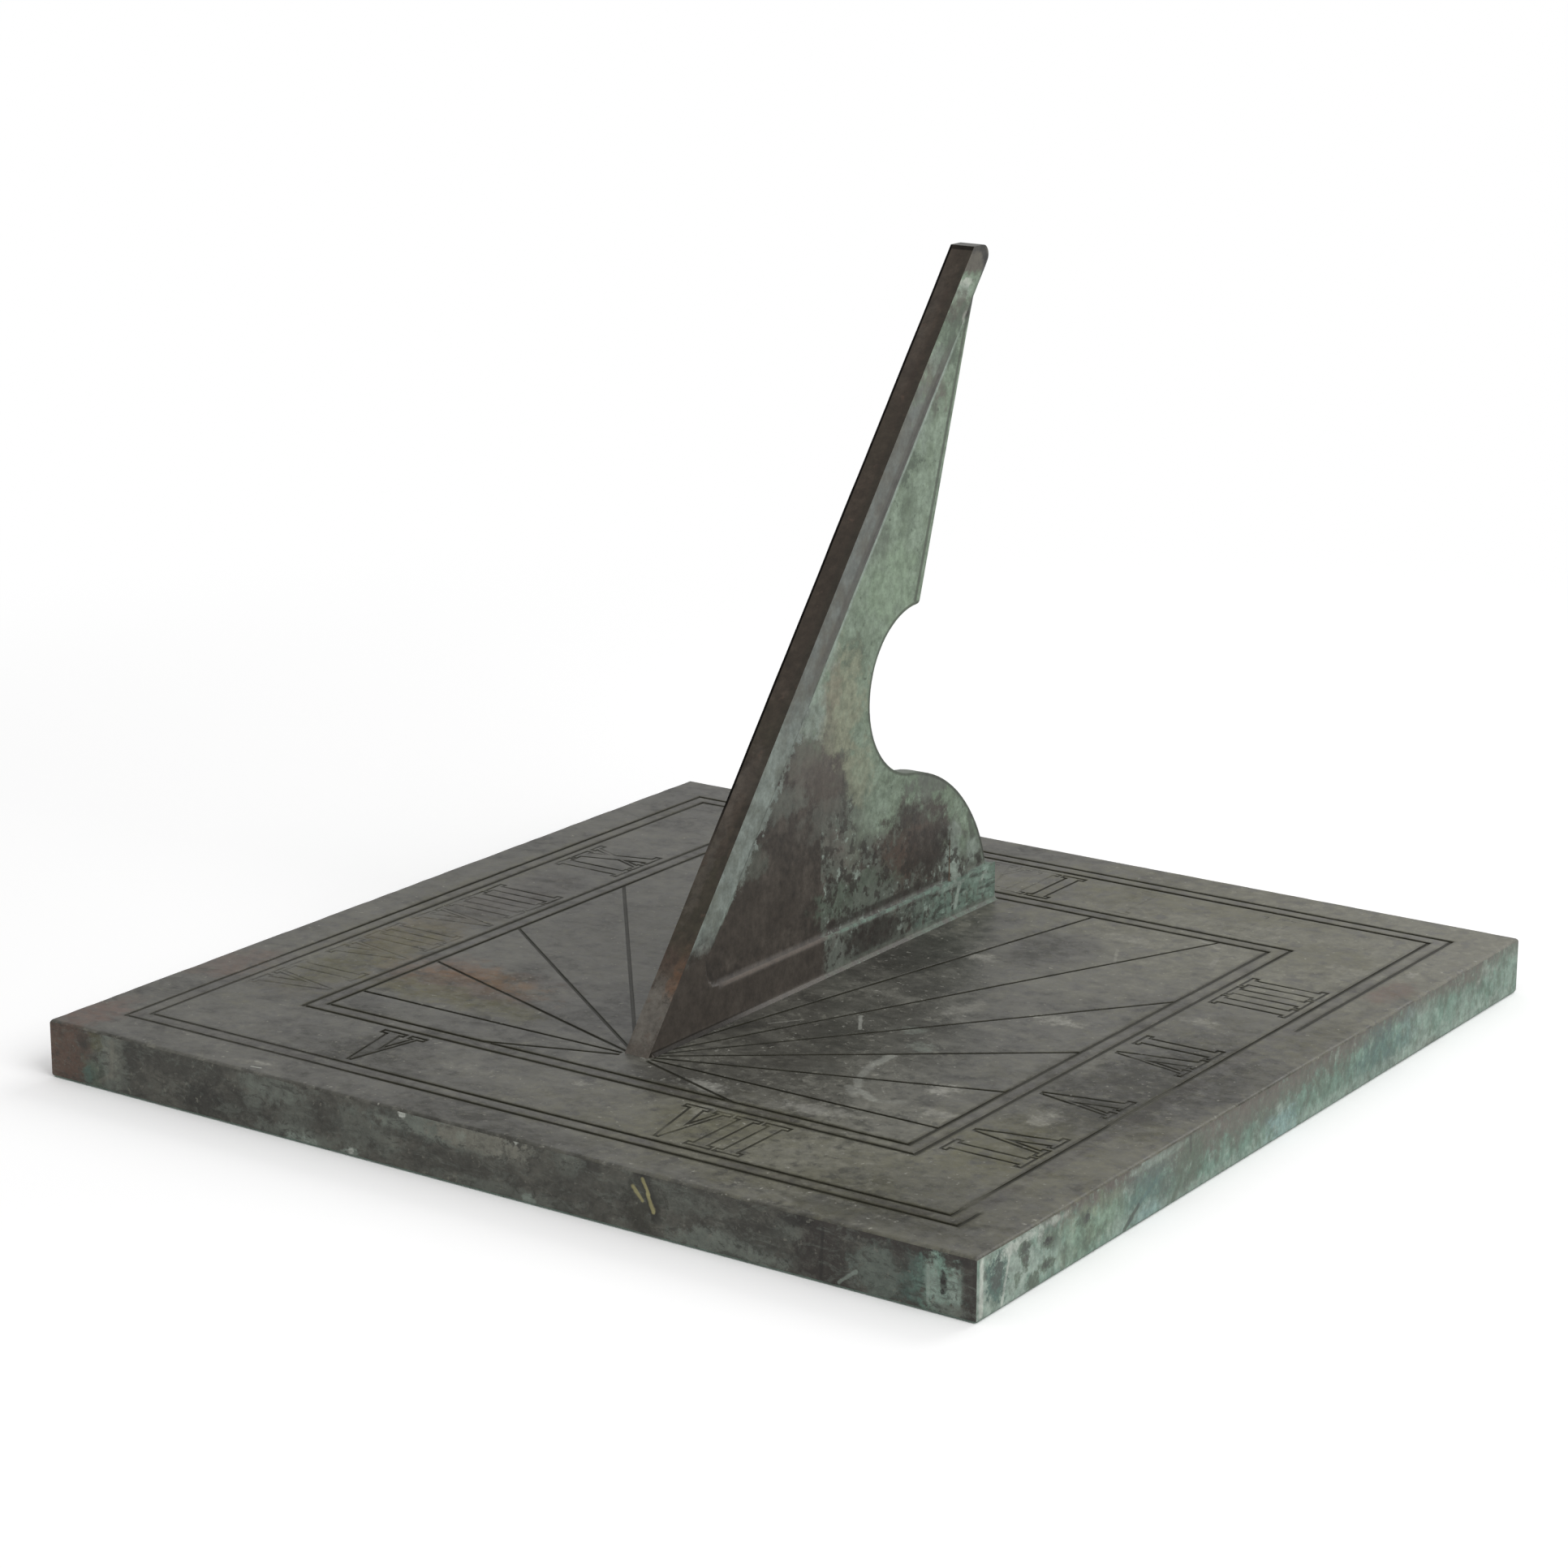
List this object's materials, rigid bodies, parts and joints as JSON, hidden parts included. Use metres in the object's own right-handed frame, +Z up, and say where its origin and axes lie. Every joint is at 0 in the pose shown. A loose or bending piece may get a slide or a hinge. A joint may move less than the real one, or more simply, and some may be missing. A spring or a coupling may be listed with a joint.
{
  "type": "horizontal sundial",
  "caption": "Horizontal garden sundial: a square engraved dial plate with an upright gnomon screwed on from beneath.",
  "frame": {"origin": "middle of the dial plate's lower face, which it rests on", "axes": "+Z up, square to the dial plate; +Y along the noon line, the way the style rises (north); +X east"},
  "size_m": [0.305, 0.305, 0.2195],
  "materials": {
    "plate_bronze": "weathered cast bronze, grey-brown patina with verdigris at the edges",
    "gnomon_bronze": "weathered cast bronze, sage verdigris over dark brown",
    "fixing_bronze": "dull machined bronze"
  },
  "bodies": {
    "root": {"dial_plate": "plate_bronze", "gnomon": "gnomon_bronze", "screw_south": "fixing_bronze", "screw_middle": "fixing_bronze", "screw_north": "fixing_bronze", "dowel_south": "fixing_bronze", "dowel_north": "fixing_bronze"}
  },
  "joints": []
}
